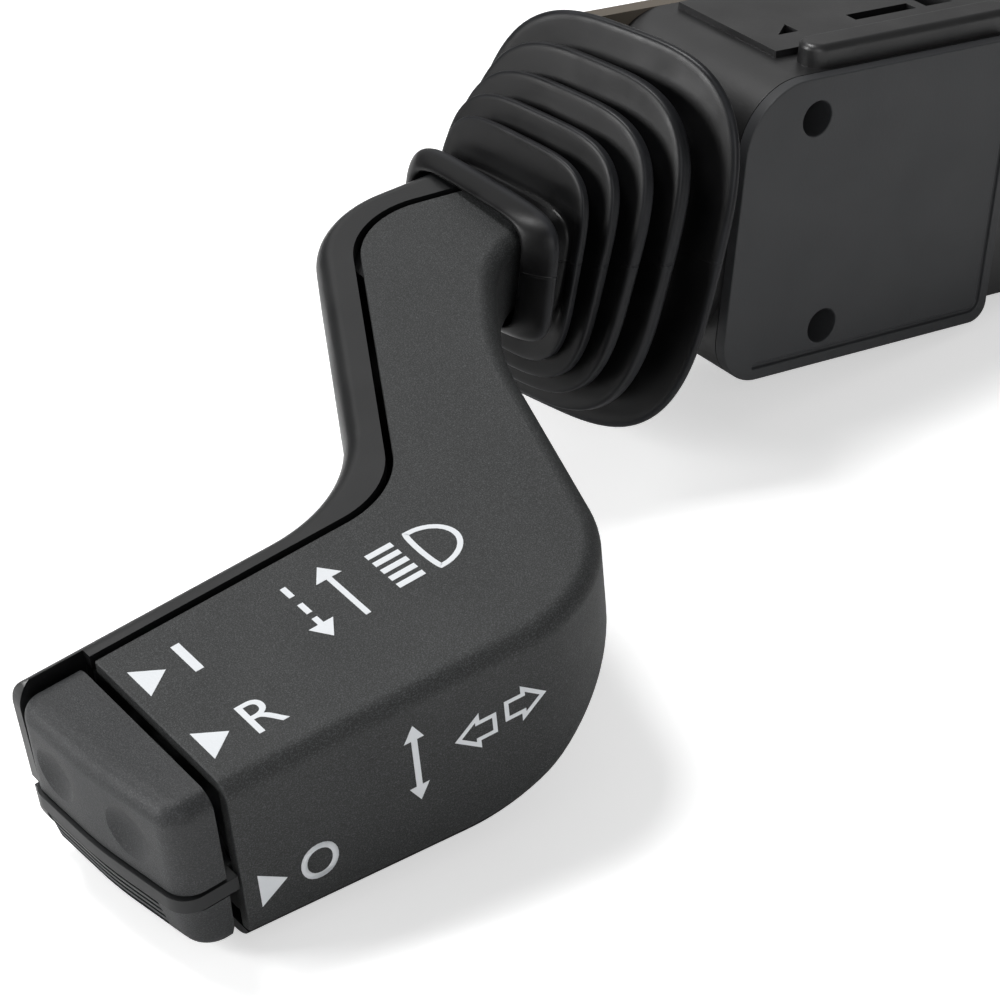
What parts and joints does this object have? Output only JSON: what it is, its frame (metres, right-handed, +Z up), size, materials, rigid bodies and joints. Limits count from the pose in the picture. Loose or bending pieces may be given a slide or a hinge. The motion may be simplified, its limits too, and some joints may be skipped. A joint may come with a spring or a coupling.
{
  "type": "combination stalk switch",
  "caption": "Steering column combination switch: cranked stalk with rocker and button in its tip, rubber bellows, detent housing with guide rail and plug socket.",
  "frame": {"origin": "on the side cover's outer face, midway between its two locating holes", "axes": "+X along the housing from the stalk's side to the plug, +Y into the housing away from the cover, +Z up towards the guide rail"},
  "size_m": [0.2183, 0.0984, 0.0761],
  "materials": {
    "case_plastic": "moulded glass-filled nylon, satin",
    "cover_plastic": "moulded glass-filled nylon, satin",
    "base_board": "pressed phenolic board",
    "header_plastic": "moulded, satin",
    "bellows_rubber": "moulded, soft sheen",
    "natural_plastic": "acetal, natural",
    "core_plastic": "glass-filled nylon",
    "shell_grained": "fine spark-eroded grain",
    "shell_smooth": "smooth satin",
    "key_plastic": "fine grain",
    "band_plastic": "satin",
    "switch_plastic": "moulded",
    "board_laminate": "coated laminate",
    "contact_copper": "stamped copper alloy",
    "blade_tin": "tinned",
    "pin_steel": "ground",
    "spring_steel": "drawn wire",
    "screw_steel": "zinc plated"
  },
  "bodies": {
    "housing": {"housing_case": "case_plastic", "side_cover": "cover_plastic", "contact_base": "base_board", "contact_rivets": "contact_copper", "connector_header": "header_plastic", "terminal_blades": "blade_tin", "boot_frame": "case_plastic", "boot": "bellows_rubber", "detent_track": "natural_plastic", "beam_contact_board": "board_laminate", "beam_pads": "contact_copper", "finger_pin": "pin_steel", "finger_spring": "spring_steel"},
    "carrier": {"turn_carrier": "natural_plastic", "lever_pin": "pin_steel"},
    "lever": {"lever_core": "core_plastic", "stalk_front_shell": "shell_grained", "stalk_rear_shell": "shell_smooth", "tip_bezel": "band_plastic", "shell_screws": "screw_steel", "key_board": "board_laminate", "key_switches": "switch_plastic", "rocker_pin": "pin_steel", "button_spring": "spring_steel", "plunger_spring": "spring_steel"},
    "rocker": {"rocker_key": "key_plastic"},
    "button": {"off_button": "key_plastic"},
    "plunger": {"detent_plunger": "natural_plastic"},
    "finger": {"cancel_finger": "natural_plastic"},
    "turn_contact": {"turn_slider": "natural_plastic", "turn_wipers": "contact_copper"},
    "beam_contact": {"beam_slider": "natural_plastic", "beam_wipers": "contact_copper"}
  },
  "joints": [
    {"name": "indicator_tilt", "type": "hinge", "parent": "housing", "child": "carrier", "pos_m": [-0.0037, 0.0165, 0], "axis": [0, 1, 0], "range_deg": [-10, 10], "deforming": ["boot"]},
    {"name": "beam_tilt", "type": "hinge", "parent": "carrier", "child": "lever", "pos_m": [-0.0037, 0.0165, 0], "axis": [0, 0, 1], "range_deg": [-7, 7], "deforming": ["boot"]},
    {"name": "cruise_rocker", "type": "hinge", "parent": "lever", "child": "rocker", "pos_m": [-0.138, -0.03925, -0.02814], "axis": [-0.2577, -0.0924, 0.9618], "range_deg": [-4, 4], "stiffness_Nm_per_rad": 0.02},
    {"name": "off_button", "type": "slide", "parent": "lever", "child": "button", "axis": [0.9659, 0, 0.2588], "range_m": [0, 0.0015], "stiffness_N_per_m": 800, "springref_m": -0.001, "deforming": ["button_spring"]},
    {"name": "detent_plunger", "type": "slide", "parent": "lever", "child": "plunger", "axis": [-1, 0, 0], "range_m": [0, 0.001], "stiffness_N_per_m": 1500, "springref_m": -0.002, "deforming": ["plunger_spring"]},
    {"name": "cancel_finger", "type": "hinge", "parent": "housing", "child": "finger", "pos_m": [0.047, 0.01, 0.011], "axis": [0, 1, 0], "range_deg": [-12, 12], "stiffness_Nm_per_rad": 0.01},
    {"name": "turn_contact_slide", "type": "slide", "parent": "housing", "child": "turn_contact", "axis": [0, 0, 1], "range_m": [-0.0022, 0.0022]},
    {"name": "beam_contact_slide", "type": "slide", "parent": "housing", "child": "beam_contact", "axis": [0, 1, 0], "range_m": [-0.0016, 0.0016]}
  ],
  "couplings": [
    {"joint": "turn_contact_slide", "follows": "indicator_tilt", "m_per_rad": -0.012},
    {"joint": "beam_contact_slide", "follows": "beam_tilt", "m_per_rad": 0.012}
  ]
}
